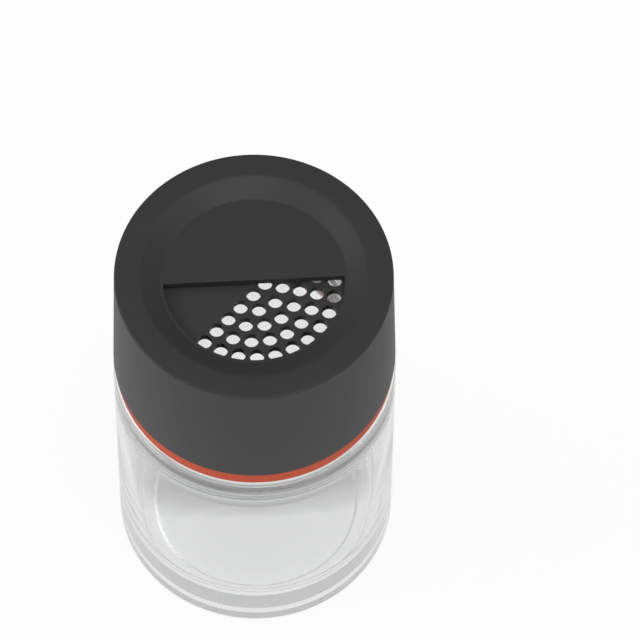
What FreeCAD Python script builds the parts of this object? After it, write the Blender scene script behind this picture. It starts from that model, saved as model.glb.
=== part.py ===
import FreeCAD, Part
import Sketcher
import math
import os

# Spice shaker: a clear glass jar with a twist top. The jar stands on z = 0, its axis is Z,
# and the half-moon window of the turning cap looks towards -Y. All sizes are millimetres.

os.makedirs("parts", exist_ok=True)
doc = FreeCAD.newDocument("spice_shaker")

# Driving dimensions
driving = {
    "total_height": 91.6,
    "jar_radius": 26.9,
    "jar_wall": 2.6,
    "jar_base": 6.0,
    "jar_heel_round": 1.5,
    "jar_inner_heel_round": 6.9,
    "jar_shoulder_round": 1.2,
    "jar_shoulder_round_inner": 8.0,
    "jar_throat_round": 3.0,
    "jar_throat_drop": 1.85,
    "jar_shoulder_slope": 6.0,
    "foot_width": 5.3,
    "foot_recess": 1.1,
    "neck_wall": 2.5,
    "neck_height": 17.65,
    "neck_root_round": 0.6,
    "lip_round": 0.6,
    "thread_pitch": 4.0,
    "thread_turns": 1.25,
    "thread_depth": 1.2,
    "thread_root_width": 2.4,
    "thread_crest_width": 1.0,
    "thread_start": 7.05,
    "female_root_width": 2.2,
    "female_crest_width": 0.9,
    "thread_sink": 0.4,
    "thread_clearance": 0.3,
    "seal_to_cap_gap": 0.2,
    "seal_height": 3.55,
    "seal_inset": 0.5,
    "seal_round": 0.4,
    "seal_fit": 0.05,
    "seal_inner_chamfer": 0.9,
    "gasket_height": 1.5,
    "gasket_clearance": 0.3,
    "gasket_inset": 0.1,
    "cap_height": 29.5,
    "cap_inset": 0.1,
    "cap_draft": 0.8,
    "cap_wall": 1.8,
    "cap_edge_round": 0.35,
    "cap_top_thickness": 1.9,
    "dish_depth": 2.0,
    "rim_width": 4.8,
    "dish_bevel_width": 3.8,
    "dish_rim_round": 2.2,
    "dish_floor_round": 1.2,
    "dish_underside_step": 0.4,
    "floor_thickness": 1.4,
    "window_inset": 0.5,
    "rib_inset": 0.8,
    "rib_width": 0.8,
    "rib_clearance": 0.15,
    "bead_depth": 0.85,
    "bead_tip_height": 0.6,
    "bead_flank": 0.6,
    "bead_level": 2.4,
    "bead_radial_clearance": 0.25,
    "bead_axial_clearance": 0.3,
    "collar_wall": 1.8,
    "collar_gap": 0.6,
    "web_thickness": 2.3,
    "spout_wall": 1.6,
    "collar_top_drop": 1.3,
    "sieve_gap": 0.3,
    "sieve_thickness": 1.5,
    "sieve_skirt_wall": 1.1,
    "sieve_skirt_drop": 3.4,
    "sieve_fit": 0.1,
    "key_width": 3.0,
    "key_clearance": 0.1,
    "hole_radius": 1.375,
    "hole_first_ring": 2.1,
    "outer_holes_inset": 1.76,
    "hole_edge_offset": 1.35,
    "holes_start_angle": 225.0,
    "turn_to_open": 45.0,
    "turn_travel": 180.0,
    "stop_post_width": 2.4,
    "stop_post_depth": 1.3,
    "stop_post_angle": 90.0,
    "stop_post_rise": 1.8,
    "stop_clearance": 0.5,
    "stop_arc_clearance": 0.4,
    "friction_ring_section": 0.93,
    "friction_ring_clearance": 0.07,
    "friction_groove_side": 0.17,
    "pad_thickness": 0.7,
    "pad_recess": 0.55,
    "pad_edge_inset": 0.5,
    "pad_fit": 0.05,
}

sheet = doc.addObject("Spreadsheet::Sheet", "Sizes")
for row, (alias, number) in enumerate(driving.items(), start=1):
    sheet.set("A%d" % row, alias)
    sheet.set("B%d" % row, str(number))
    sheet.setAlias("B%d" % row, alias)
doc.recompute()


class Size:
    """A length that knows its present value and the sheet expression behind it."""

    def __init__(self, value, text):
        self.value = float(value)
        self.text = text

    def __add__(self, other):
        other = as_size(other)
        return Size(self.value + other.value, "(%s + %s)" % (self.text, other.text))

    def __sub__(self, other):
        other = as_size(other)
        return Size(self.value - other.value, "(%s - %s)" % (self.text, other.text))

    def __mul__(self, other):
        other = as_size(other)
        return Size(self.value * other.value, "(%s * %s)" % (self.text, other.text))

    def __truediv__(self, other):
        other = as_size(other)
        return Size(self.value / other.value, "(%s / %s)" % (self.text, other.text))

    def __neg__(self):
        return Size(-self.value, "(-1 * %s)" % self.text)


def as_size(number):
    return number if isinstance(number, Size) else Size(number, repr(float(number)))


def size(alias):
    return Size(sheet.get(alias), "Sizes.%s" % alias)


def arc_sine_degrees(ratio):
    """Angle whose sine is the ratio, as a plain number of degrees in the sheet's terms."""
    return Size(math.degrees(math.asin(ratio.value)), "(asin(%s) / 1 deg)" % ratio.text)


# Helpers for bodies, sketches and features
def new_body(label):
    body = doc.addObject("PartDesign::Body", label)
    body.Label = label
    return body


def origin_plane(body, role):
    return next(item for item in body.Origin.OriginFeatures if item.Role == role)


def new_sketch(body, name, role="XZ_Plane", height=None):
    """An empty sketch on one of the body's own planes, raised to a height if given."""
    sketch = body.newObject("Sketcher::SketchObject", name)
    sketch.AttachmentSupport = [(origin_plane(body, role), "")]
    sketch.MapMode = "FlatFace"
    if height is not None:
        sketch.AttachmentOffset = FreeCAD.Placement(
            FreeCAD.Vector(0, 0, height.value), FreeCAD.Rotation())
        sketch.setExpression("AttachmentOffset.Base.z", height.text)
    return sketch


def bind(sketch, kind, geometry, vertex, length):
    """Fixes one coordinate of a vertex, measured from the sketch's origin."""
    if abs(length.value) < 1e-9:
        axis = -2 if kind == "DistanceX" else -1
        sketch.addConstraint(Sketcher.Constraint("PointOnObject", geometry, vertex, axis))
        return
    index = sketch.addConstraint(
        Sketcher.Constraint(kind, -1, 1, geometry, vertex, length.value))
    sketch.setExpression("Constraints[%d]" % index, length.text)


def closed_outline(sketch, corners):
    """Straight sides from corner to corner, every corner fixed by two sizes."""
    corners = [(as_size(across), as_size(up)) for across, up in corners]
    places = [FreeCAD.Vector(across.value, up.value, 0) for across, up in corners]
    count = len(corners)
    first = sketch.GeometryCount
    for index in range(count):
        sketch.addGeometry(Part.LineSegment(places[index], places[(index + 1) % count]))
    for index in range(count):
        following = first + (index + 1) % count
        sketch.addConstraint(Sketcher.Constraint("Coincident", first + index, 2, following, 1))
    for index, (across, up) in enumerate(corners):
        bind(sketch, "DistanceX", first + index, 1, across)
        bind(sketch, "DistanceY", first + index, 1, up)


def revolve(body, name, corners):
    """A full turn of an outline about the Z axis."""
    sketch = new_sketch(body, name + "_outline")
    closed_outline(sketch, corners)
    feature = body.newObject("PartDesign::Revolution", name)
    feature.Profile = sketch
    feature.ReferenceAxis = (sketch, ["V_Axis"])
    feature.Angle = 360.0
    doc.recompute()
    return feature


def rings_at(feature, places):
    """Names of the circular edges about the axis at the given radii and heights."""
    names = []
    for radius, height in places:
        for number, edge in enumerate(feature.Shape.Edges, start=1):
            box = edge.BoundBox
            round_edge = isinstance(edge.Curve, Part.Circle)
            if not round_edge or abs(edge.Curve.Radius - radius.value) > 1e-4:
                continue
            if abs(box.ZMin - height.value) < 1e-4 and abs(box.ZMax - height.value) < 1e-4:
                names.append("Edge%d" % number)
    return names


def round_rings(body, name, radius, places):
    """Rounds the circular edges at the given radii and heights."""
    base = body.Tip
    feature = body.newObject("PartDesign::Fillet", name)
    feature.Base = (base, rings_at(base, places))
    feature.setExpression("Radius", radius.text)
    doc.recompute()
    return feature


def chamfer_rings(body, name, width, places):
    """Breaks the circular edges at the given radii and heights with a 45 degree chamfer."""
    base = body.Tip
    feature = body.newObject("PartDesign::Chamfer", name)
    feature.Base = (base, rings_at(base, places))
    feature.setExpression("Size", width.text)
    doc.recompute()
    return feature


def raise_pad(body, name, sketch, length, downwards=False):
    feature = body.newObject("PartDesign::Pad", name)
    feature.Profile = sketch
    feature.Reversed = downwards
    feature.setExpression("Length", length.text)
    doc.recompute()
    return feature


def cut_pocket(body, name, sketch, length, upwards=False):
    """A pocket that is checked to have taken material away."""
    before = body.Tip.Shape.Volume
    feature = body.newObject("PartDesign::Pocket", name)
    feature.Profile = sketch
    feature.Reversed = upwards
    feature.setExpression("Length", length.text)
    doc.recompute()
    if feature.Shape.Volume >= before:
        raise RuntimeError("pocket %s cuts nothing" % name)
    return feature


def add_thread(body, name, root_radius, outwards, depth, root_width, crest_width, start):
    """A trapezoid ridge wound once round the axis and a little more, right-handed."""
    sink = size("thread_sink")
    direction = 1 if outwards else -1
    root = root_radius - sink * direction
    crest = root_radius + depth * direction
    sketch = new_sketch(body, name + "_outline")
    closed_outline(sketch, [
        (root, start - root_width / 2),
        (crest, start - crest_width / 2),
        (crest, start + crest_width / 2),
        (root, start + root_width / 2)])
    feature = body.newObject("PartDesign::AdditiveHelix", name)
    feature.Profile = sketch
    feature.ReferenceAxis = (sketch, ["V_Axis"])
    feature.Mode = "pitch-turns-angle"
    feature.setExpression("Pitch", size("thread_pitch").text)
    feature.setExpression("Turns", size("thread_turns").text)
    feature.LeftHanded = False
    doc.recompute()
    return feature


# Heights and radii that several pieces share
top = size("total_height")
cap_bottom = top - size("cap_height")
seal_top = cap_bottom - size("seal_to_cap_gap")
shoulder = seal_top - size("seal_height")
lip = shoulder + size("neck_height")
jar_bore = size("jar_radius") - size("jar_wall")
cap_skirt = size("jar_radius") - size("cap_inset")
cap_edge = cap_skirt - size("cap_draft")
cap_bore = cap_edge - size("cap_wall")
dish_rim = cap_edge - size("rim_width")
dish_edge = dish_rim - size("dish_bevel_width")
window_radius = dish_edge - size("window_inset")
rib_outer = cap_bore - size("rib_inset")
rib_inner = rib_outer - size("rib_width")
dish_floor = top - size("dish_depth")
floor_bottom = dish_floor - size("floor_thickness")
sieve_top = floor_bottom - size("sieve_gap")
sieve_bottom = sieve_top - size("sieve_thickness")
collar_outer = cap_bore - size("collar_gap")
collar_bore = collar_outer - size("collar_wall")
neck_radius = collar_bore - size("thread_clearance") - size("thread_depth")
mouth = neck_radius - size("neck_wall")
collar_top = sieve_top - size("collar_top_drop")
web_bottom = lip + size("gasket_height")
web_top = web_bottom + size("web_thickness")
spout_outer = mouth + size("spout_wall")
bead_centre = cap_bottom + size("bead_level")
male_start = shoulder + size("thread_start")


def glass_jar():
    """Clear jar: thick base with a shallow recess, straight body, threaded neck."""
    body = new_body("glass_jar")
    radius = size("jar_radius")
    recess = size("foot_recess")
    foot = radius - size("foot_width")
    throat = shoulder - size("jar_throat_drop")
    slope_end = throat - size("jar_shoulder_slope")
    base = size("jar_base")
    revolve(body, "jar_turned", [
        (0, recess), (foot - recess, recess), (foot, 0), (radius, 0),
        (radius, shoulder), (neck_radius, shoulder), (neck_radius, lip), (mouth, lip),
        (mouth, throat), (jar_bore, slope_end), (jar_bore, base), (0, base)])
    round_rings(body, "heel_round", size("jar_heel_round"), [(radius, as_size(0))])
    round_rings(body, "shoulder_round", size("jar_shoulder_round"), [(radius, shoulder)])
    round_rings(body, "neck_root_round", size("neck_root_round"), [(neck_radius, shoulder)])
    round_rings(body, "lip_round", size("lip_round"), [(neck_radius, lip), (mouth, lip)])
    round_rings(body, "throat_round", size("jar_throat_round"), [(mouth, throat)])
    round_rings(body, "inner_shoulder_round", size("jar_shoulder_round_inner"),
                [(jar_bore, slope_end)])
    round_rings(body, "inner_heel_round", size("jar_inner_heel_round"), [(jar_bore, base)])
    add_thread(body, "neck_thread", neck_radius, True, size("thread_depth"),
               size("thread_root_width"), size("thread_crest_width"), male_start)
    return body


def seal_ring():
    """Soft ring on the jar's shoulder, the coloured line below the cap."""
    body = new_body("seal_ring")
    inner = neck_radius + size("seal_fit")
    outer = size("jar_radius") - size("seal_inset")
    revolve(body, "seal_turned", [
        (inner, shoulder), (outer, shoulder), (outer, seal_top), (inner, seal_top)])
    round_rings(body, "seal_round", size("seal_round"), [(outer, shoulder), (outer, seal_top)])
    chamfer_rings(body, "seal_inner_chamfer", size("seal_inner_chamfer"), [(inner, shoulder)])
    return body


def mouth_gasket():
    """Flat washer between the glass lip and the collar's web."""
    body = new_body("mouth_gasket")
    inner = mouth + size("gasket_inset")
    outer = collar_bore - size("gasket_clearance")
    revolve(body, "gasket_turned", [
        (inner, lip), (outer, lip), (outer, web_bottom), (inner, web_bottom)])
    return body


def screw_collar():
    """Threaded sleeve that screws on the neck, carries the sieve and guides the cap."""
    body = new_body("screw_collar")
    groove_half = size("bead_tip_height") / 2 + size("bead_axial_clearance")
    flank = size("bead_flank")
    groove_floor = (cap_bore - size("bead_depth")
                    - size("bead_radial_clearance"))
    section = size("friction_ring_section")
    ring_centre = cap_bore - size("friction_ring_clearance") - section
    ring_level = web_bottom + size("web_thickness") / 2
    ring_floor = ring_centre - section - size("friction_ring_clearance")
    ring_half = section + size("friction_groove_side")
    revolve(body, "collar_turned", [
        (collar_bore, seal_top), (collar_outer, seal_top),
        (collar_outer, bead_centre - groove_half - flank),
        (groove_floor, bead_centre - groove_half),
        (groove_floor, bead_centre + groove_half),
        (collar_outer, bead_centre + groove_half + flank),
        (collar_outer, ring_level - ring_half), (ring_floor, ring_level - ring_half),
        (ring_floor, ring_level + ring_half), (collar_outer, ring_level + ring_half),
        (collar_outer, collar_top), (collar_bore, collar_top), (collar_bore, web_top),
        (spout_outer, web_top), (spout_outer, sieve_bottom), (mouth, sieve_bottom),
        (mouth, web_bottom), (collar_bore, web_bottom)])
    ridge_depth = collar_bore - neck_radius - size("thread_clearance")
    add_thread(body, "collar_thread", collar_bore, False, ridge_depth,
               size("female_root_width"), size("female_crest_width"),
               male_start - size("thread_pitch") / 2)
    half = size("stop_post_width") / 2
    post_outer = rib_inner - size("stop_arc_clearance") / 2
    post_inner = post_outer - size("stop_post_depth")
    post = new_sketch(body, "stop_post_outline", "XY_Plane", web_top)
    closed_outline(post, [
        (-half, post_inner), (half, post_inner), (half, post_outer), (-half, post_outer)])
    raise_pad(body, "stop_post", post, collar_top + size("stop_post_rise") - web_top)
    key_half = size("key_width") / 2
    notch = new_sketch(body, "key_notch_outline", "XY_Plane", sieve_bottom)
    closed_outline(notch, [
        (-key_half, mouth + size("spout_wall") / 2), (key_half, mouth + size("spout_wall") / 2),
        (key_half, spout_outer + size("spout_wall")),
        (-key_half, spout_outer + size("spout_wall"))])
    cut_pocket(body, "key_notch", notch, size("sieve_skirt_drop"))
    return body


def sieve_disc():
    """Plate that closes the spout: one half solid, the other with five arcs of holes."""
    body = new_body("sieve_disc")
    inner = spout_outer + size("sieve_fit")
    outer = inner + size("sieve_skirt_wall")
    skirt_bottom = sieve_bottom - size("sieve_skirt_drop") + size("key_clearance")
    revolve(body, "sieve_turned", [
        (0, sieve_bottom), (inner, sieve_bottom), (inner, skirt_bottom),
        (outer, skirt_bottom), (outer, sieve_top), (0, sieve_top)])
    key_half = size("key_width") / 2 - size("key_clearance")
    key_inner = mouth + size("spout_wall") / 2 + size("key_clearance")
    key = new_sketch(body, "key_outline", "XY_Plane", sieve_bottom)
    closed_outline(key, [
        (-key_half, key_inner), (key_half, key_inner),
        (key_half, inner + size("sieve_skirt_wall") / 2),
        (-key_half, inner + size("sieve_skirt_wall") / 2)])
    raise_pad(body, "key", key, sieve_bottom - skirt_bottom, downwards=True)
    outer_ring = window_radius - size("outer_holes_inset")
    ring_pitch = (outer_ring - size("hole_first_ring")) / 4
    for ring in range(5):
        radius = size("hole_first_ring") + ring_pitch * ring
        edge_angle = arc_sine_degrees(size("hole_edge_offset") / radius)
        first = size("holes_start_angle") + edge_angle
        sketch = new_sketch(body, "hole_%d_outline" % (ring + 1), "XY_Plane", sieve_top)
        sketch.AttachmentOffset = FreeCAD.Placement(
            FreeCAD.Vector(0, 0, sieve_top.value),
            FreeCAD.Rotation(FreeCAD.Vector(0, 0, 1), first.value))
        sketch.setExpression("AttachmentOffset.Rotation.Angle", first.text)
        sketch.addGeometry(Part.Circle(FreeCAD.Vector(radius.value, 0, 0),
                                       FreeCAD.Vector(0, 0, 1), size("hole_radius").value))
        bind(sketch, "DistanceX", 0, 3, radius)
        bind(sketch, "DistanceY", 0, 3, as_size(0))
        index = sketch.addConstraint(
            Sketcher.Constraint("Radius", 0, size("hole_radius").value))
        sketch.setExpression("Constraints[%d]" % index, size("hole_radius").text)
        hole = cut_pocket(body, "hole_%d" % (ring + 1), sketch, size("sieve_thickness"))
        pattern = body.newObject("PartDesign::PolarPattern", "hole_arc_%d" % (ring + 1))
        pattern.Originals = [hole]
        pattern.Axis = (origin_plane(body, "Z_Axis"), [""])
        pattern.Occurrences = 3 * ring + 2
        spread = as_size(180) - edge_angle * 2
        pattern.setExpression("Angle", spread.text)
        body.Tip = pattern
        doc.recompute()
    return body


def friction_ring():
    """Round-section ring in the collar's groove that holds the cap where it is turned."""
    torus = doc.addObject("Part::Torus", "friction_ring")
    section = size("friction_ring_section")
    centre = cap_bore - size("friction_ring_clearance") - section
    torus.setExpression("Radius1", centre.text)
    torus.setExpression("Radius2", section.text)
    torus.setExpression("Placement.Base.z", (web_bottom + size("web_thickness") / 2).text)
    doc.recompute()
    return torus


def turning_cap():
    """Outer cap: tall skirt, dished top, half-moon window over the sieve."""
    body = new_body("turning_cap")
    ceiling = top - size("cap_top_thickness")
    rib_bottom = collar_top + size("rib_clearance")
    step = size("dish_underside_step")
    tip = cap_bore - size("bead_depth")
    tip_half = size("bead_tip_height") / 2
    root_half = tip_half + size("bead_flank")
    revolve(body, "cap_turned", [
        (cap_skirt, cap_bottom), (cap_edge, top),
        (dish_rim, top), (dish_edge, dish_floor), (0, dish_floor), (0, floor_bottom),
        (dish_edge + step, floor_bottom), (dish_rim - step, ceiling),
        (rib_inner, ceiling), (rib_inner, rib_bottom),
        (rib_outer, rib_bottom), (rib_outer, ceiling),
        (cap_bore, ceiling), (cap_bore, bead_centre + root_half),
        (tip, bead_centre + tip_half), (tip, bead_centre - tip_half),
        (cap_bore, bead_centre - root_half), (cap_bore, cap_bottom)])
    round_rings(body, "top_edge_round", size("cap_edge_round"), [(cap_edge, top)])
    round_rings(body, "dish_rim_round", size("dish_rim_round"), [(dish_rim, top)])
    round_rings(body, "dish_floor_round", size("dish_floor_round"), [(dish_edge, dish_floor)])
    window = new_sketch(body, "window_outline", "XY_Plane", dish_floor)
    half_disc(window, window_radius, as_size(0), -1)
    cut_pocket(body, "window", window, size("floor_thickness"))
    pad_bed = new_sketch(body, "pad_bed_outline", "XY_Plane", floor_bottom)
    half_disc(pad_bed, window_radius - size("pad_edge_inset") + size("pad_fit"),
              size("pad_edge_inset") - size("pad_fit"), 1)
    cut_pocket(body, "pad_bed", pad_bed, size("pad_recess"), upwards=True)
    stop = new_sketch(body, "stop_arc_outline", "XY_Plane", ceiling)
    post_half = arc_sine_degrees(
        (size("stop_post_width") / 2 + size("stop_clearance"))
        / (rib_inner - size("stop_post_depth")))
    begin = (size("stop_post_angle") + post_half + size("turn_travel") - size("turn_to_open"))
    sweep = as_size(360) - size("turn_travel") - post_half * 2
    inner = (rib_inner - size("stop_post_depth")
             - size("stop_arc_clearance") / 2)
    ring_sector(stop, inner, rib_inner + size("rib_width") / 4, begin, sweep)
    raise_pad(body, "stop_arc", stop, ceiling - collar_top - size("stop_arc_clearance"),
              downwards=True)
    return body


def half_disc(sketch, radius, offset, side):
    """Half a disc of the given radius, cut along X at an offset towards its side."""
    across = math.sqrt(radius.value ** 2 - offset.value ** 2)
    level = offset * side
    low, high = (math.pi, 2 * math.pi) if side < 0 else (0, math.pi)
    lean = math.asin(offset.value / radius.value)
    circle = Part.Circle(FreeCAD.Vector(0, 0, 0), FreeCAD.Vector(0, 0, 1), radius.value)
    sketch.addGeometry(Part.ArcOfCircle(circle, low + lean, high - lean))
    left_first = side < 0
    begin = FreeCAD.Vector(-across if left_first else across, level.value, 0)
    end = FreeCAD.Vector(across if left_first else -across, level.value, 0)
    sketch.addGeometry(Part.LineSegment(end, begin))
    sketch.addConstraint(Sketcher.Constraint("Coincident", 0, 2, 1, 1))
    sketch.addConstraint(Sketcher.Constraint("Coincident", 1, 2, 0, 1))
    sketch.addConstraint(Sketcher.Constraint("Coincident", 0, 3, -1, 1))
    index = sketch.addConstraint(Sketcher.Constraint("Radius", 0, radius.value))
    sketch.setExpression("Constraints[%d]" % index, radius.text)
    sketch.addConstraint(Sketcher.Constraint("Horizontal", 1))
    bind(sketch, "DistanceY", 1, 1, level)


def ring_sector(sketch, inner, outer, begin, sweep):
    """A piece of a flat ring, from an angle over a sweep in degrees."""
    sketch.setExpression("AttachmentOffset.Rotation.Angle", begin.text)
    start = 0.0
    finish = math.radians(sweep.value)
    centre = FreeCAD.Vector(0, 0, 0)
    normal = FreeCAD.Vector(0, 0, 1)
    ends = []
    for number, radius in enumerate((inner, outer)):
        circle = Part.Circle(centre, normal, radius.value)
        sketch.addGeometry(Part.ArcOfCircle(circle, start, finish))
        ends.append((
            FreeCAD.Vector(radius.value, 0, 0),
            FreeCAD.Vector(radius.value * math.cos(finish), radius.value * math.sin(finish), 0)))
        sketch.addConstraint(Sketcher.Constraint("Coincident", number, 3, -1, 1))
        index = sketch.addConstraint(Sketcher.Constraint("Radius", number, radius.value))
        sketch.setExpression("Constraints[%d]" % index, radius.text)
    sketch.addGeometry(Part.LineSegment(ends[0][0], ends[1][0]))
    sketch.addGeometry(Part.LineSegment(ends[0][1], ends[1][1]))
    sketch.addConstraint(Sketcher.Constraint("Coincident", 0, 1, 2, 1))
    sketch.addConstraint(Sketcher.Constraint("Coincident", 1, 1, 2, 2))
    sketch.addConstraint(Sketcher.Constraint("Coincident", 0, 2, 3, 1))
    sketch.addConstraint(Sketcher.Constraint("Coincident", 1, 2, 3, 2))
    sketch.addConstraint(Sketcher.Constraint("PointOnObject", 2, 1, -1))
    sketch.addConstraint(Sketcher.Constraint("PointOnObject", 2, 2, -1))
    sketch.addConstraint(Sketcher.Constraint("PointOnObject", -1, 1, 3))
    index = sketch.addConstraint(Sketcher.Constraint("Angle", 2, 1, 3, 1, finish))
    sketch.setExpression("Constraints[%d]" % index, sweep.text)


def sealing_pad():
    """Soft pad under the cap's solid half that covers the holes when the top is shut."""
    body = new_body("sealing_pad")
    bed = floor_bottom + size("pad_recess")
    sketch = new_sketch(body, "pad_outline", "XY_Plane", bed)
    half_disc(sketch, window_radius - size("pad_edge_inset"), size("pad_edge_inset"), 1)
    raise_pad(body, "pad", sketch, size("pad_thickness"), downwards=True)
    return body


pieces = [
    glass_jar(), seal_ring(), mouth_gasket(), screw_collar(), sieve_disc(),
    friction_ring(), turning_cap(), sealing_pad()]

# Nothing is written unless every object is sound
doc.recompute()
for item in doc.Objects:
    if "Invalid" in item.State or "Error" in item.State:
        raise RuntimeError("object %s failed: %s" % (item.Label, item.State))
for piece in pieces:
    if piece.Shape.isNull() or not piece.Shape.isValid():
        raise RuntimeError("piece %s has no sound shape" % piece.Label)
for piece in pieces:
    piece.Shape.exportStep("parts/%s.step" % piece.Label)
    box = piece.Shape.BoundBox
    print("%-14s solids %d volume %9.2f z %.2f to %.2f" % (
        piece.Label, len(piece.Shape.Solids), piece.Shape.Volume, box.ZMin, box.ZMax))
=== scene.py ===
import math
import bpy
import bmesh
from mathutils import Matrix, Vector


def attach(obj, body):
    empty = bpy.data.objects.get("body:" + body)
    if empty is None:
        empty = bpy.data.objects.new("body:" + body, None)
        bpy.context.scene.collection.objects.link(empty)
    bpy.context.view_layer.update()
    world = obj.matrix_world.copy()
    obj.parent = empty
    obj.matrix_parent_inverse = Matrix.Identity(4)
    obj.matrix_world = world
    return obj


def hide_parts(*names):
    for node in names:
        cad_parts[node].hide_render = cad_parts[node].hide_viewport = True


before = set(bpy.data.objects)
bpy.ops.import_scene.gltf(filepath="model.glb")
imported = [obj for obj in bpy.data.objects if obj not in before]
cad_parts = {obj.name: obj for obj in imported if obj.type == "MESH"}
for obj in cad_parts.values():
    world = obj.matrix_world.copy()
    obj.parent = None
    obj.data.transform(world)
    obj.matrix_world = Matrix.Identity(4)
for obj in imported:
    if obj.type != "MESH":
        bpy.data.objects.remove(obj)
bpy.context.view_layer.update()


# Glass jar: a pressed clear jar with a thick base, a rounded shoulder and a narrower
# neck that carries one turn and a quarter of thread. It is one piece of glass, so the
# outside, the inside and the thread are turned as one closed skin. Sizes are millimetres.
mm = 0.001
jar_radius = 26.9
jar_bore = 24.3
base_thickness = 6.0
foot_recess = 1.1
recess_radius = 20.5
foot_inner_radius = 21.6
shoulder_height = 58.35
neck_radius = 20.3
mouth_radius = 17.8
lip_height = 76.0
throat_height = 56.5
slope_end = 50.5
thread_pitch = 4.0
thread_turns = 1.25
thread_row = 0.2
neck_thread_start = shoulder_height + 7.05


def rounded(corners, arc_step=7.5):
    """An outline of (radius, height, rounding) corners as points, in millimetres."""
    points = []
    count = len(corners)
    for index, (across, up, rounding) in enumerate(corners):
        here = Vector((across, up))
        if not rounding:
            points.append(here)
            continue
        before = Vector(corners[index - 1][:2]) - here
        after = Vector(corners[(index + 1) % count][:2]) - here
        before.normalize()
        after.normalize()
        half = before.angle(after) / 2
        reach = rounding / math.tan(half)
        centre = here + (before + after).normalized() * (rounding / math.sin(half))
        start = here + before * reach - centre
        finish = here + after * reach - centre
        turn = start.angle_signed(finish)
        steps = max(3, math.ceil(abs(math.degrees(turn)) / arc_step))
        for step in range(steps + 1):
            spun = start.copy()
            spun.rotate(Matrix.Rotation(-turn * step / steps, 2))
            points.append(centre + spun)
    return points


def divided(points, radius, row):
    """The same outline with rows added along its upright at one radius, for a thread."""
    result = []
    for index, here in enumerate(points):
        result.append(here)
        there = points[(index + 1) % len(points)]
        if abs(here.x - radius) < 1e-3 and abs(there.x - radius) < 1e-3:
            rows = math.ceil(abs(there.y - here.y) / row)
            result.extend(here.lerp(there, step / rows) for step in range(1, rows))
    return result


def ridge(start, depth, root_width, crest_width, root_radius, fade=math.radians(12)):
    """How far a screw thread stands out of the wall at root_radius, faded at both ends."""
    def height(angle, point):
        if abs(point.x - root_radius) > 1e-3:
            return 0.0
        best = 0.0
        whole = 2 * math.pi * thread_turns
        for lap in range(math.ceil(thread_turns) + 1):
            along = angle + 2 * math.pi * lap
            if not 0 <= along <= whole:
                continue
            away = abs(point.y - start - thread_pitch * along / (2 * math.pi))
            rise = (root_width / 2 - away) / ((root_width - crest_width) / 2)
            ends = min(along, whole - along) / fade
            best = max(best, min(1.0, rise, ends))
        return depth * best
    return height


def placed(name, data):
    """A new object in the scene."""
    piece = bpy.data.objects.new(name, data)
    bpy.context.scene.collection.objects.link(piece)
    return piece


def moulded(name, sculpt):
    """A piece from a finished sculpt, with its faces turned outwards."""
    bmesh.ops.recalc_face_normals(sculpt, faces=sculpt.faces)
    mesh = bpy.data.meshes.new(name)
    sculpt.to_mesh(mesh)
    sculpt.free()
    return placed(name, mesh)


def smoothed(piece):
    """The piece shaded smooth, with its true corners kept sharp."""
    piece.data.shade_smooth()
    piece.data.set_sharp_from_angle(angle=math.radians(35))
    return piece


def turned(name, points, segments=256, swell=None, start_turn=0.0):
    """A closed skin turned about Z from an outline in millimetres; swell moves a point out."""
    sculpt = bmesh.new()
    rings = []
    for point in points:
        if point.x < 1e-6:
            rings.append([sculpt.verts.new((0, 0, point.y * mm))] * segments)
            continue
        ring = []
        for segment in range(segments):
            angle = start_turn + 2 * math.pi * segment / segments
            radius = point.x + (swell(angle, point) if swell else 0.0)
            ring.append(sculpt.verts.new((
                radius * math.cos(angle) * mm, radius * math.sin(angle) * mm, point.y * mm)))
        rings.append(ring)
    on_axis = points[0].x < 1e-6 and points[-1].x < 1e-6
    for index in range(len(rings) - (1 if on_axis else 0)):
        lower = rings[index]
        upper = rings[(index + 1) % len(rings)]
        for segment in range(segments):
            following = (segment + 1) % segments
            corners = [lower[segment], lower[following], upper[following], upper[segment]]
            corners = list(dict.fromkeys(corners))
            if len(corners) > 2:
                sculpt.faces.new(corners)
    return smoothed(moulded(name, sculpt))


class Wire:
    """One output of a node. Arithmetic on it adds Math nodes."""

    def __init__(self, nodes, socket):
        self.nodes = nodes
        self.socket = socket

    def other(self, name):
        """Another output of the same node."""
        return Wire(self.nodes, self.socket.node.outputs[name])

    def math(self, operation, *values):
        return self.nodes.node("ShaderNodeMath", {"operation": operation}, self, *values)

    def __add__(self, value):
        return self.math("ADD", value)

    __radd__ = __add__

    def __mul__(self, value):
        return self.math("MULTIPLY", value)

    __rmul__ = __mul__

    def __sub__(self, value):
        return self.math("SUBTRACT", value)

    def __rsub__(self, value):
        return self.nodes.node("ShaderNodeMath", {"operation": "SUBTRACT"}, value, self)

    def __truediv__(self, value):
        return self.math("DIVIDE", value)


class Nodes:
    """A node tree that is built node by node."""

    def __init__(self, tree):
        self.tree = tree

    def set(self, node, sockets):
        """Puts values or wires on a node's inputs, by number or by name."""
        for key, value in sockets.items():
            socket = node.inputs[key if isinstance(key, int) else key.replace("_", " ")]
            if isinstance(value, Wire):
                self.tree.links.new(value.socket, socket)
            else:
                socket.default_value = value

    def node(self, kind, settings=None, *values, out=0, **sockets):
        """Adds a node: its settings first, then the values or wires of its sockets."""
        node = self.tree.nodes.new(kind)
        for key, value in (settings or {}).items():
            if key == "stops":
                self.lay_stops(node.color_ramp.elements, value)
            else:
                setattr(node, key, value)
        self.set(node, dict(enumerate(values)))
        self.set(node, sockets)
        return Wire(self, node.outputs[out])

    def lay_stops(self, elements, stops):
        """Puts grey stops of (place, level) on a ramp."""
        elements.remove(elements[1])
        for place, level in stops:
            element = elements.new(place) if place else elements[0]
            element.color = (level, level, level, 1)


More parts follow.
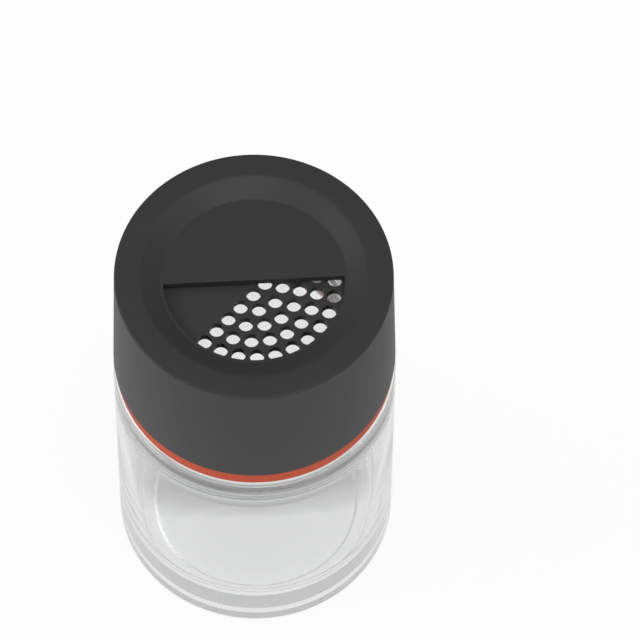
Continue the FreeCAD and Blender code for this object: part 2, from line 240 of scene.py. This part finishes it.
class Finish(Nodes):
    """A material on a Principled surface."""

    def __init__(self, name, **sockets):
        self.material = bpy.data.materials.new(name)
        self.material.use_nodes = True
        super().__init__(self.material.node_tree)
        self.tree.nodes.clear()
        self.output = self.tree.nodes.new("ShaderNodeOutputMaterial")
        self.surface = self.tree.nodes.new("ShaderNodeBsdfPrincipled")
        self.tree.links.new(self.surface.outputs[0], self.output.inputs["Surface"])
        self.coat(**sockets)

    def coat(self, **sockets):
        self.set(self.surface, sockets)

    def object_place(self):
        return self.node("ShaderNodeTexCoord", out="Object")

    def noise(self, scale, detail, place=None):
        """Noise over a place, or over the piece's own place if none is given."""
        return self.node("ShaderNodeTexNoise", None, Vector=place or self.object_place(),
                         Scale=scale, Detail=detail)

    def mixed(self, factor, first, second):
        """A colour between two colours, given as red, green and blue."""
        mix = self.node("ShaderNodeMix", {"data_type": "RGBA"}, Factor=factor, out=2)
        self.set(mix.socket.node, {6: (*first, 1), 7: (*second, 1)})
        return mix

    def bump(self, height, distance, strength):
        self.coat(Normal=self.node("ShaderNodeBump", None, Height=height, Strength=strength,
                                   Distance=distance))

    def put_on(self, piece):
        piece.data.materials.clear()
        piece.data.materials.append(self.material)


jar_outline = rounded([
    (0, foot_recess, 0), (recess_radius, foot_recess, 0.8), (foot_inner_radius, 0, 0.6),
    (jar_radius, 0, 1.5), (jar_radius, shoulder_height, 1.2),
    (neck_radius, shoulder_height, 0.6), (neck_radius, lip_height, 0.6),
    (mouth_radius, lip_height, 0.6), (mouth_radius, throat_height, 3.0),
    (jar_bore, slope_end, 8.0), (jar_bore, base_thickness, 6.9), (0, base_thickness, 0)])
glass_jar = turned(
    "glass_jar_skin", divided(jar_outline, neck_radius, thread_row), 288,
    ridge(neck_thread_start, depth=1.2, root_width=2.4, crest_width=1.0,
          root_radius=neck_radius))
clear_glass = Finish(
    "clear_glass", Base_Color=(0.985, 0.995, 0.99, 1), IOR=1.5, Transmission_Weight=1.0)
glass_place = clear_glass.object_place()
glass_height = clear_glass.node("ShaderNodeSeparateXYZ", None, glass_place, out="Z")
stippled_foot = clear_glass.node(
    "ShaderNodeMapRange", None, glass_height, From_Min=foot_recess * mm,
    From_Max=(foot_recess + 0.3) * mm, To_Min=0.35, To_Max=0.0)
clear_glass.coat(Roughness=stippled_foot)
waves = clear_glass.noise(60.0, 1.5, glass_place)
clear_glass.bump(waves, distance=0.15 * mm, strength=0.15)
clear_glass.put_on(glass_jar)
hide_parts("glass_jar")
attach(glass_jar, "jar")


# Seal ring: a moulded silicone ring that grips the foot of the neck and lies on the jar's
# shoulder. Its outer edge is the orange line between the glass and the cap.
seal_bore = 20.35
seal_outer = 26.4
seal_top = 61.9
seal_lead_in = 0.9
seal_ring = turned("seal_ring_band", rounded([
    (seal_bore, shoulder_height + seal_lead_in, 0),
    (seal_bore + seal_lead_in, shoulder_height, 0), (seal_outer, shoulder_height, 0.4),
    (seal_outer, seal_top, 0.4), (seal_bore, seal_top, 0)]))
orange_silicone = Finish("orange_silicone", Roughness=0.6, Specular_IOR_Level=0.25)
mottle = orange_silicone.noise(900.0, 3.0)
orange_silicone.coat(Base_Color=orange_silicone.mixed(
    mottle, (0.50, 0.066, 0.022), (0.56, 0.080, 0.028)))
orange_silicone.bump(mottle, distance=0.03 * mm, strength=0.5)
orange_silicone.put_on(seal_ring)
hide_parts("seal_ring")
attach(seal_ring, "shoulder_ring")


# Mouth gasket: a washer punched from pale silicone sheet. It lies on the glass lip and the
# collar's web presses on it when the lid is screwed down.
gasket_bore = 17.9
gasket_outer = 21.5
gasket_top = 77.5
mouth_gasket = turned("mouth_gasket_washer", rounded([
    (gasket_bore, lip_height, 0.15), (gasket_outer, lip_height, 0.15),
    (gasket_outer, gasket_top, 0.15), (gasket_bore, gasket_top, 0.15)]))
pale_silicone = Finish("pale_silicone", Roughness=0.5, Specular_IOR_Level=0.4,
                       Subsurface_Weight=0.15, Subsurface_Scale=2 * mm)
pale_silicone.coat(Base_Color=pale_silicone.mixed(
    pale_silicone.noise(400.0, 2.0), (0.70, 0.70, 0.68), (0.80, 0.80, 0.78)))
pale_silicone.put_on(mouth_gasket)
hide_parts("mouth_gasket")
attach(mouth_gasket, "gasket")


# Screw collar: a black moulded sleeve threaded inside. It screws on the neck, its spout
# carries the sieve, and its outside guides the cap, with grooves for the bead and the ring.
# A post on its web stops the cap, and a notch in the spout keeps the sieve from turning.
collar_outer = 23.6
collar_bore = 21.8
collar_top = 86.6
web_top = gasket_top + 2.3
spout_outer = 19.4
spout_top = 86.4
bead_level = 64.5
bead_groove_radius = 23.1
bead_groove_half = 0.6
ring_level = 78.65
ring_groove_radius = 22.2
ring_groove_half = 1.1
collar_outline = rounded([
    (collar_bore, seal_top, 0.2), (collar_outer, seal_top, 0.3),
    (collar_outer, bead_level - 2 * bead_groove_half, 0),
    (bead_groove_radius, bead_level - bead_groove_half, 0),
    (bead_groove_radius, bead_level + bead_groove_half, 0),
    (collar_outer, bead_level + 2 * bead_groove_half, 0),
    (collar_outer, ring_level - ring_groove_half, 0.1),
    (ring_groove_radius, ring_level - ring_groove_half, 0.1),
    (ring_groove_radius, ring_level + ring_groove_half, 0.1),
    (collar_outer, ring_level + ring_groove_half, 0.1),
    (collar_outer, collar_top, 0.3), (collar_bore, collar_top, 0.2),
    (collar_bore, web_top, 0.4), (spout_outer, web_top, 0.4),
    (spout_outer, spout_top, 0.1), (mouth_radius, spout_top, 0.1),
    (mouth_radius, gasket_top, 0.3), (collar_bore, gasket_top, 0.2)])
sleeve = turned(
    "screw_collar_sleeve", divided(collar_outline, collar_bore, thread_row), 288,
    ridge(neck_thread_start - thread_pitch / 2, depth=-1.2, root_width=2.2, crest_width=0.9,
          root_radius=collar_bore))


def slab(name, outline, low, high):
    """A flat closed block over an outline of (x, y) points between two heights."""
    sculpt = bmesh.new()
    base = sculpt.faces.new([sculpt.verts.new((x * mm, y * mm, low * mm)) for x, y in outline])
    raised = bmesh.ops.extrude_face_region(sculpt, geom=[base])
    corners = [item for item in raised["geom"] if isinstance(item, bmesh.types.BMVert)]
    bmesh.ops.translate(sculpt, verts=corners, vec=(0, 0, (high - low) * mm))
    return moulded(name, sculpt)


def upright_bar(name, half_width, near, far, low, high):
    """A square bar that straddles the Y axis between two distances from the jar's axis."""
    return slab(name, [(-half_width, near), (half_width, near), (half_width, far),
                       (-half_width, far)], low, high)


def settled(piece):
    """The piece with its modifiers worked into its mesh."""
    bpy.context.view_layer.update()
    evaluated = piece.evaluated_get(bpy.context.evaluated_depsgraph_get())
    mesh = bpy.data.meshes.new_from_object(evaluated)
    piece.modifiers.clear()
    piece.data = mesh
    return piece


def combined(piece, other, operation):
    """The piece after a boolean with another, which is then removed."""
    modifier = piece.modifiers.new("shape", "BOOLEAN")
    modifier.operation = operation
    modifier.solver = "EXACT"
    modifier.object = other
    settled(piece)
    bpy.data.objects.remove(other)
    return piece


stop_post = upright_bar("stop_post", 1.2, 21.1, 22.4, web_top - 0.3, collar_top + 1.8)
key_notch = upright_bar("key_notch_cutter", 1.5, 18.6, 20.0, spout_top - 3.4, spout_top + 0.5)
screw_collar = combined(sleeve, stop_post, "UNION")
screw_collar = smoothed(combined(screw_collar, key_notch, "DIFFERENCE"))
black_plastic = Finish("black_plastic", Specular_IOR_Level=0.32)
grain = black_plastic.noise(5200.0, 2.0)
patches = black_plastic.noise(70.0, 3.0)
black_plastic.coat(
    Base_Color=black_plastic.mixed(
        patches, (0.0245, 0.0235, 0.0238), (0.030, 0.0285, 0.0288)),
    Roughness=patches * 0.06 + grain * 0.05 + 0.46)
black_plastic.bump(grain, distance=0.02 * mm, strength=0.6)
black_plastic.put_on(screw_collar)
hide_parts("screw_collar")
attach(screw_collar, "collar")


# Sieve disc: the same black plastic, pressed over the spout with a key in its notch. Half of
# it is solid. The other half has five arcs of holes, and each arc has three more holes than
# the arc inside it, with its first and last hole along the half's straight edge.
sieve_top = 87.9
sieve_skirt = 83.1
sieve_bore = 19.5
sieve_outer = 20.6
hole_radius = 1.375
plate = turned("sieve_disc_plate", rounded([
    (0, spout_top, 0), (sieve_bore, spout_top, 0), (sieve_bore, sieve_skirt, 0.15),
    (sieve_outer, sieve_skirt, 0.15), (sieve_outer, sieve_top, 0.25), (0, sieve_top, 0)]),
    192, start_turn=0.013)


def perforations(arcs=5, first_count=2, more=3):
    """A Geometry Nodes tree that drills arcs of holes through half a plate."""
    tree = bpy.data.node_groups.new("perforations", "GeometryNodeTree")
    inputs = [("Geometry", "Geometry"), ("Hole radius", "Float"), ("Drill length", "Float"),
              ("First arc", "Float"), ("Arc pitch", "Float"), ("Edge offset", "Float"),
              ("Start angle", "Float"), ("Level", "Float"), ("Finish", "Material")]
    for label, kind in inputs:
        tree.interface.new_socket(label, in_out="INPUT", socket_type="NodeSocket" + kind)
    tree.interface.new_socket("Geometry", in_out="OUTPUT", socket_type="NodeSocketGeometry")
    nodes = Nodes(tree)
    size = nodes.node("NodeGroupInput").other
    drill = nodes.node("GeometryNodeMeshCylinder", None, Vertices=40,
                       Radius=size("Hole radius"), Depth=size("Drill length"))
    drills = nodes.node("GeometryNodeJoinGeometry")
    for arc in range(arcs):
        count = first_count + more * arc
        radius = size("First arc") + size("Arc pitch") * arc
        lean = (size("Edge offset") / radius).math("ARCSINE")
        sweep = math.pi - lean * 2.0
        number = nodes.node("GeometryNodeInputIndex")
        turn = size("Start angle") + lean + number * (sweep / (count - 1))
        centre = nodes.node("ShaderNodeCombineXYZ", None, X=radius * turn.math("COSINE"),
                            Y=radius * turn.math("SINE"), Z=size("Level"))
        centres = nodes.node("GeometryNodePoints", None, Count=count, Position=centre)
        nodes.set(drills.socket.node, {"Geometry": nodes.node(
            "GeometryNodeInstanceOnPoints", None, Points=centres, Instance=drill)})
    solid = nodes.node("GeometryNodeRealizeInstances", None, Geometry=drills)
    drilled = nodes.node(
        "GeometryNodeMeshBoolean", {"operation": "DIFFERENCE", "solver": "EXACT"},
        Mesh_1=size("Geometry"), Mesh_2=solid)
    coated = nodes.node("GeometryNodeSetMaterial", None, Geometry=drilled,
                        Material=size("Finish"))
    nodes.set(tree.nodes.new("NodeGroupOutput"), {"Geometry": coated})
    return tree


def shaped(piece, tree, sizes):
    """The piece after a Geometry Nodes tree with its named sizes has run on it."""
    modifier = piece.modifiers.new(tree.name, "NODES")
    modifier.node_group = tree
    for item in tree.interface.items_tree:
        if item.in_out == "INPUT" and item.name in sizes:
            modifier[item.identifier] = sizes[item.name]
    return settled(piece)


plate = shaped(plate, perforations(), {
    "Hole radius": hole_radius * mm, "Drill length": 6 * mm, "First arc": 2.1 * mm,
    "Arc pitch": 3.26 * mm, "Edge offset": 1.35 * mm, "Start angle": math.radians(225),
    "Level": (sieve_top + spout_top) / 2 * mm, "Finish": black_plastic.material})
sieve_key = upright_bar("sieve_key", 1.4, 18.7, 20.05, sieve_skirt, spout_top + 0.3)
sieve_disc = smoothed(combined(plate, sieve_key, "UNION"))
black_plastic.put_on(sieve_disc)
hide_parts("sieve_disc")
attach(sieve_disc, "collar")


# Friction ring: a black rubber ring of round section in the collar's groove. It rubs on the
# inside of the cap and keeps the cap where it is turned.
ring_section_radius = 0.93
ring_radius = 23.2
ring_facets = 24
section_turns = [2 * math.pi * facet / ring_facets for facet in range(ring_facets)]
friction_ring = turned("friction_ring_cord", [
    Vector((ring_radius + ring_section_radius * math.cos(turn),
            ring_level + ring_section_radius * math.sin(turn))) for turn in section_turns])
dark_rubber = Finish("dark_rubber", Specular_IOR_Level=0.4)
dust = dark_rubber.noise(1500.0, 3.0)
dark_rubber.coat(
    Base_Color=dark_rubber.mixed(dust, (0.016, 0.016, 0.016), (0.03, 0.03, 0.03)),
    Roughness=dust * 0.1 + 0.5)
dark_rubber.put_on(friction_ring)
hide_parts("friction_ring")
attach(friction_ring, "collar")


# Turning cap: a moulded black shell with a tall skirt, a flat rim and a dished top. The
# front half of its floor is cut away as a half-moon window over the sieve. Inside, a bead
# snaps into the collar's groove, and an arc under the top meets the collar's post.
cap_bottom = 62.1
cap_top = 91.6
skirt_radius = 26.8
rim_radius = 26.0
dish_edge = 21.2
dish_foot = 17.4
dish_floor = 89.6
floor_bottom = 88.2
floor_underside = 17.8
ceiling = 89.7
ceiling_inner = 20.8
rib_inner = 22.6
rib_outer = 23.4
rib_bottom = collar_top + 0.15
cap_bore = 24.2
bead_tip_radius = 23.35
bead_tip_half = 0.3
bead_root_half = 0.9
cap_skin = turned("turning_cap_shell", rounded([
    (skirt_radius, cap_bottom, 0.25), (rim_radius, cap_top, 0.35), (dish_edge, cap_top, 2.2),
    (dish_foot, dish_floor, 1.2), (0, dish_floor, 0), (0, floor_bottom, 0),
    (floor_underside, floor_bottom, 0.5), (ceiling_inner, ceiling, 0.5),
    (rib_inner, ceiling, 0.2), (rib_inner, rib_bottom, 0.1), (rib_outer, rib_bottom, 0.1),
    (rib_outer, ceiling, 0.2), (cap_bore, ceiling, 0.2),
    (cap_bore, bead_level + bead_root_half, 0), (bead_tip_radius, bead_level + bead_tip_half, 0),
    (bead_tip_radius, bead_level - bead_tip_half, 0), (cap_bore, bead_level - bead_root_half, 0),
    (cap_bore, cap_bottom, 0.2)]), 256, start_turn=math.pi / 256)


def arc_points(radius, begin, finish, steps):
    """Points along an arc about the axis, angles in degrees."""
    turns = [math.radians(begin + (finish - begin) * step / steps) for step in range(steps + 1)]
    return [(radius * math.cos(turn), radius * math.sin(turn)) for turn in turns]


def half_disc(radius, inset):
    """The outline of a half disc behind the axis, its straight edge set back by the inset."""
    lean = math.degrees(math.asin(inset / radius))
    return arc_points(radius, lean, 180 - lean, 96)


window_radius = 16.9
over_cut = 0.5
window = slab("window_cutter", arc_points(window_radius, 180, 360, 128),
              floor_bottom - over_cut, dish_floor + over_cut)
turning_cap = combined(cap_skin, window, "DIFFERENCE")
pad_bed = slab("pad_bed_cutter", half_disc(16.45, 0.45), floor_bottom - over_cut,
               floor_bottom + 0.55)
turning_cap = combined(turning_cap, pad_bed, "DIFFERENCE")
post_place = 90
post_lean = math.degrees(math.asin(1.7 / 21.3))
stop_begin = post_place + 135 + post_lean
stop_finish = post_place + 360 - 45 - post_lean
stop_arc = slab("stop_arc", arc_points(22.8, stop_begin, stop_finish, 96)
                + arc_points(21.1, stop_finish, stop_begin, 96), collar_top + 0.4, ceiling + 0.2)
turning_cap = smoothed(combined(turning_cap, stop_arc, "UNION"))
black_plastic.put_on(turning_cap)
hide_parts("turning_cap")
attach(turning_cap, "cap")


# Sealing pad: a half disc of grey silicone let into the underside of the cap's solid half.
# It covers the holes when the top is turned shut.
pad_bottom = floor_bottom - 0.15
pad_thickness = 0.7
sealing_pad = slab("sealing_pad_half_disc", half_disc(16.4, 0.5), pad_bottom,
                   pad_bottom + pad_thickness)
edge_bevel = sealing_pad.modifiers.new("edges", "BEVEL")
edge_bevel.width = 0.1 * mm
edge_bevel.segments = 2
edge_bevel.limit_method = "ANGLE"
grey_silicone = Finish("grey_silicone", Roughness=0.6, Specular_IOR_Level=0.35)
grey_silicone.coat(Base_Color=grey_silicone.mixed(
    grey_silicone.noise(700.0, 2.0), (0.22, 0.22, 0.22), (0.28, 0.28, 0.275)))
grey_silicone.put_on(sealing_pad)
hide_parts("sealing_pad")
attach(sealing_pad, "cap")


# Table: plain white, just under the foot, and it keeps a soft shadow. Through both walls of
# the jar it shows a painted shade of the lid, painted darker and lighter bands that run from
# front to back with faint ripples; the painted shade fades out beside the jar and is left off
# where the sieve's holes look down.
def path_share(nodes, camera, gloss, glass):
    """A share for each kind of ray: one the camera sends, one off a gloss, one through glass."""
    straight = nodes.node("ShaderNodeLightPath", out="Is Camera Ray")
    through = straight.other("Is Transmission Ray")
    bounced = straight.other("Is Glossy Ray") * (1 - through)
    return straight * camera + bounced * gloss + through * glass


table_half = 3.0
table_mesh = bpy.data.meshes.new("table")
table_mesh.from_pydata(
    [(-table_half, -table_half, 0), (table_half, -table_half, 0), (table_half, table_half, 0),
     (-table_half, table_half, 0)], [], [(0, 1, 2, 3)])
table = placed("table", table_mesh)
table.location.z = -0.1 * mm
white_table = Finish("white_table", Base_Color=(0.88, 0.88, 0.88, 1), Roughness=0.9,
                     Specular_IOR_Level=0.0)
table_place = white_table.object_place()
table_x = white_table.node("ShaderNodeSeparateXYZ", None, table_place)
# Painted ripples in the painted shade, stretched across the table.
painted_streak_place = white_table.node("ShaderNodeMapping", None, table_place, Scale=(40.0, 260.0, 1.0))
painted_shade_ripple = (white_table.noise(1.0, 2.0, painted_streak_place) - 0.5) * 0.03
# Painted shade: grey levels from front to back, dark where the lid's shadow falls under the jar,
# with painted lighter bands between.
shade_ramp = [
    (0.00, 0.78), (0.375, 0.74), (0.40, 0.52), (0.44, 0.34), (0.464, 0.42), (0.512, 0.44),
    (0.56, 0.60), (0.592, 0.36), (0.632, 0.24), (0.688, 0.50), (0.728, 0.42), (0.784, 0.15),
    (0.864, 0.15), (1.00, 0.70)]
painted_shade_under_lid = white_table.node(
    "ShaderNodeValToRGB", {"stops": shade_ramp}, table_x.other("Y") * 8 + 0.4 + painted_shade_ripple)
beside_jar = white_table.node(
    "ShaderNodeMapRange", {"interpolation_type": "SMOOTHSTEP"}, table_x.math("ABSOLUTE"),
    From_Min=20 * mm, From_Max=36 * mm, To_Min=0.0, To_Max=1.0)
# The painted shade fades to an even grey beside the jar.
painted_lid_shade = painted_shade_under_lid + (0.76 - painted_shade_under_lid) * beside_jar
walls = white_table.node("ShaderNodeLightPath", out="Transmission Depth")
# The painted shade shows only on rays that have passed more than two glass surfaces; other rays
# through glass see an even grey.
painted_shade_through_glass = 0.8 + (painted_lid_shade - 0.8) * walls.math("GREATER_THAN", 2.5)
glow = white_table.node("ShaderNodeEmission", None, Color=(1, 1, 1, 1),
                        Strength=path_share(white_table, 1.0, 1.0, painted_shade_through_glass))
blend = white_table.node("ShaderNodeMixShader", None, path_share(white_table, 0.9, 0.3, 1.0),
                         Wire(white_table, white_table.surface.outputs[0]), glow)
white_table.set(white_table.output, {"Surface": blend})
white_table.put_on(table)


# Studio: a white room that is darker behind the object, where the black top mirrors it. The
# camera sees it as white. Light that stays inside the thick glass by glancing off its walls
# counts as gloss, so the count of such bounces is raised.
world = bpy.data.worlds.new("white_surround")
bpy.context.scene.world = world
world.use_nodes = True
surround = Nodes(world.node_tree)
sky = world.node_tree.nodes["Background"]
heading = surround.node("ShaderNodeSeparateXYZ", None,
                        surround.node("ShaderNodeTexCoord", out="Generated"), out="Y")
studio = surround.node("ShaderNodeMapRange", {"interpolation_type": "SMOOTHSTEP"},
                       heading, From_Min=-0.2, From_Max=0.7, To_Min=0.78, To_Max=0.32)
surround.set(sky, {"Color": (1, 1, 1, 1), "Strength": studio.math(
    "MAXIMUM", path_share(surround, 1.0, 0.0, 0.62))})
bpy.context.scene.cycles.glossy_bounces = 12


# Lamps: a broad soft window to the left of the object, and a softer one high in front.
def soft_box(name, place, width, height, power):
    """A rectangular lamp that faces the middle of the object."""
    lamp = bpy.data.lights.new(name, "AREA")
    lamp.shape = "RECTANGLE"
    lamp.size = width
    lamp.size_y = height
    lamp.energy = power
    fixture = placed(name, lamp)
    fixture.location = place
    aim = Vector((0, 0, 0.05)) - Vector(place)
    fixture.rotation_euler = aim.to_track_quat("-Z", "Y").to_euler()


soft_box("window_light", (-0.7, 0.05, 0.5), 0.5, 0.5, 2.4)
soft_box("front_light", (0.15, -0.25, 1.15), 0.6, 0.4, 3.4)


# Camera: far off and high, as a product picture is taken, with a long lens. It looks a
# little beside a point inside the lid and is rolled by half a degree.
azimuth = math.radians(-2.424)
elevation = math.radians(61.328)
distance = 1.1276
pan = 0.011
tilt = 0.001
roll = -0.009
aim_point = Vector((0, 0, cap_top - 20)) * mm
outward = Vector((math.sin(azimuth) * math.cos(elevation),
                  -math.cos(azimuth) * math.cos(elevation), math.sin(elevation)))
right = Vector((math.cos(azimuth), math.sin(azimuth), 0))
forward = (-outward + math.tan(pan) * right
           + math.tan(tilt) * outward.cross(right)).normalized()
right = (right - right.dot(forward) * forward).normalized()
side = math.cos(roll) * right + math.sin(roll) * right.cross(forward)
lens = bpy.data.cameras.new("camera")
lens.lens = 336.34
lens.sensor_width = 36.0
camera = placed("camera", lens)
camera.matrix_world = Matrix.Translation(aim_point + outward * distance) @ Matrix(
    (side, side.cross(forward), -forward)).transposed().to_4x4()
bpy.context.scene.camera = camera
bpy.context.scene.view_settings.view_transform = "Standard"
